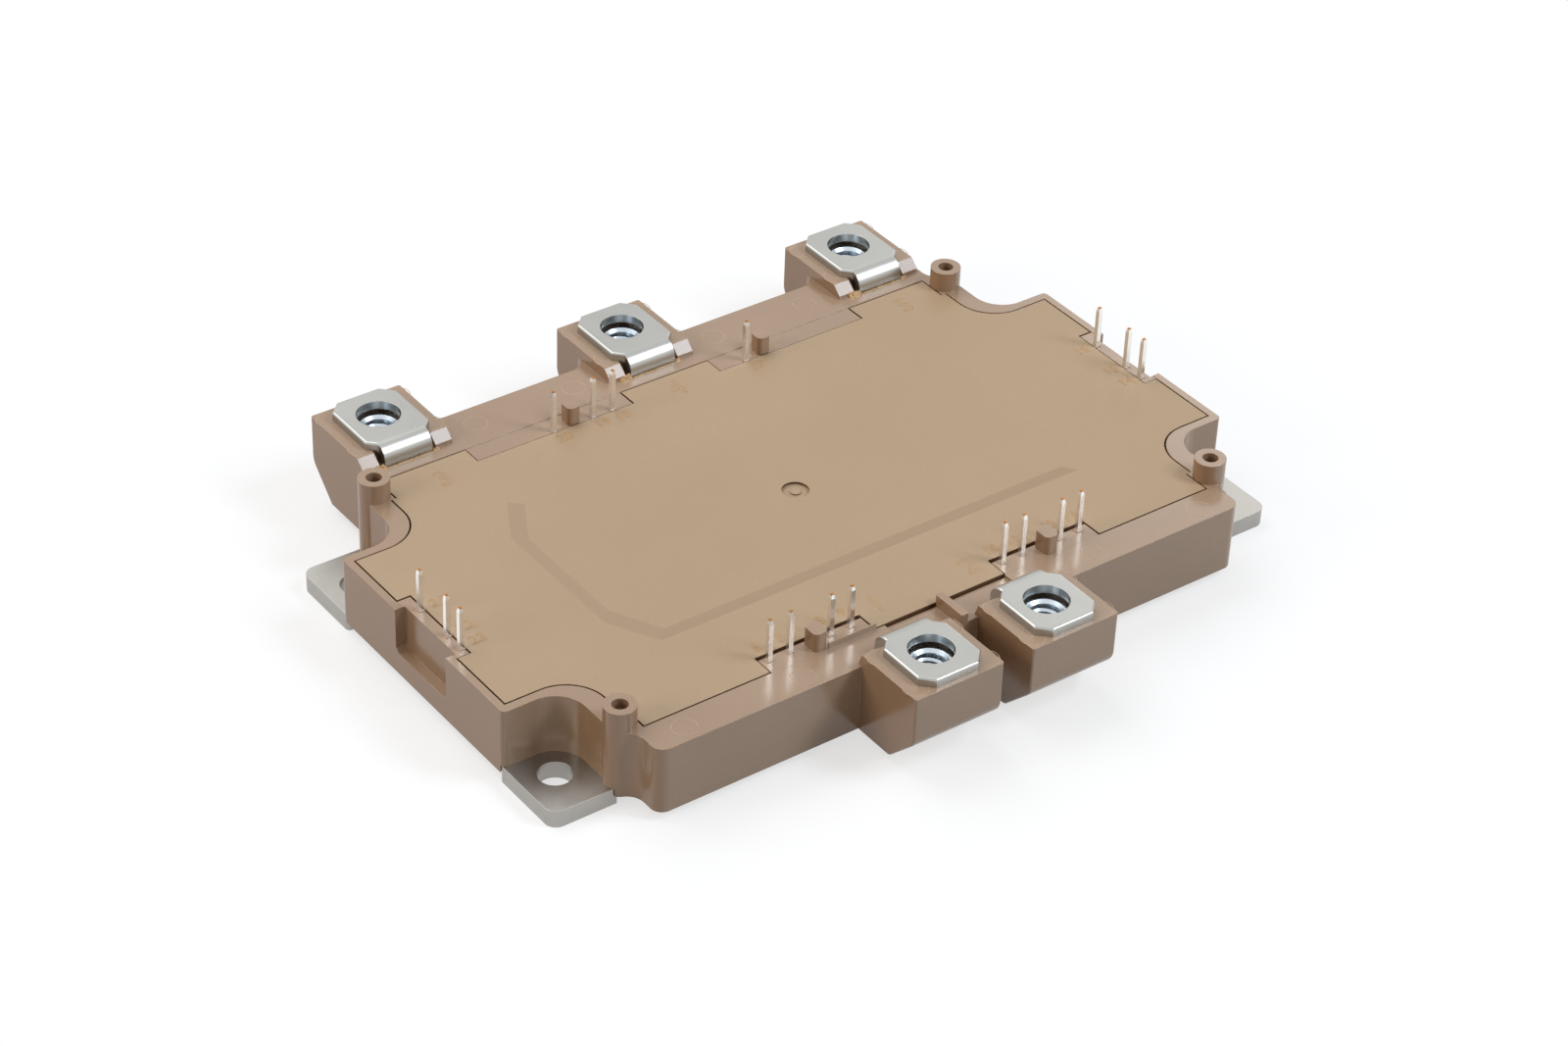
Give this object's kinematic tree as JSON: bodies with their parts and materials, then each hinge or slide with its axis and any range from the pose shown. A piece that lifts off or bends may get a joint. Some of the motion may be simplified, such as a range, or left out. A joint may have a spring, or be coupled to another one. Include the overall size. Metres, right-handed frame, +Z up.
{
  "type": "power transistor module",
  "caption": "Flat rectangular power switch module: plated base plate with screw lugs, tan moulded case and lid, screw terminals in boxes on two long sides, square solder pins.",
  "frame": {"origin": "middle of the underside of the base plate", "axes": "+X along the long side, +Y to the side with three screw terminals, +Z up out of the lid"},
  "size_m": [0.1398, 0.1128, 0.021],
  "materials": {
    "plated_plate": "dull nickel plating, faint speckle",
    "housing_plastic": "satin moulded plastic, mauve tan",
    "lid_plastic": "fine grained moulded plastic, warm tan",
    "glue": "cured adhesive",
    "nut_zinc": "bright zinc plating",
    "gel": "clear soft gel",
    "thermistor_body": "fired ceramic",
    "busbar_nickel": "satin nickel plating",
    "pin_tin": "matt tin plating, bare copper cut ends",
    "solder": "solder",
    "copper": "bare copper",
    "substrate_ceramic": "white alumina",
    "die_silicon": "metallised silicon",
    "ribbon_aluminium": "bright aluminium ribbon"
  },
  "bodies": {
    "root": {"base_plate": "plated_plate", "housing_frame": "housing_plastic", "lid": "lid_plastic", "housing_adhesive": "glue", "terminal_nuts": "nut_zinc", "silicone_gel": "gel", "thermistor": "thermistor_body", "output_terminal_u": "busbar_nickel", "output_terminal_v": "busbar_nickel", "output_terminal_w": "busbar_nickel", "dc_terminal_positive": "busbar_nickel", "dc_terminal_negative": "busbar_nickel", "signal_pin_06": "pin_tin", "signal_pin_07": "pin_tin", "signal_pin_08": "pin_tin", "signal_pin_09": "pin_tin", "signal_pin_10": "pin_tin", "signal_pin_11": "pin_tin", "signal_pin_12": "pin_tin", "signal_pin_13": "pin_tin", "signal_pin_14": "pin_tin", "signal_pin_15": "pin_tin", "signal_pin_16": "pin_tin", "signal_pin_17": "pin_tin", "signal_pin_18": "pin_tin", "signal_pin_19": "pin_tin", "signal_pin_20": "pin_tin", "signal_pin_21": "pin_tin", "signal_pin_22": "pin_tin", "signal_pin_23": "pin_tin", "substrate_solder_u": "solder", "back_copper_u": "copper", "top_copper_u": "copper", "ceramic_substrate_u": "substrate_ceramic", "igbt_dies_u": "die_silicon", "diode_dies_u": "die_silicon", "bond_ribbons_u": "ribbon_aluminium", "substrate_solder_v": "solder", "back_copper_v": "copper", "top_copper_v": "copper", "ceramic_substrate_v": "substrate_ceramic", "igbt_dies_v": "die_silicon", "diode_dies_v": "die_silicon", "bond_ribbons_v": "ribbon_aluminium", "substrate_solder_w": "solder", "back_copper_w": "copper", "top_copper_w": "copper", "ceramic_substrate_w": "substrate_ceramic", "igbt_dies_w": "die_silicon", "diode_dies_w": "die_silicon", "bond_ribbons_w": "ribbon_aluminium"}
  },
  "joints": []
}
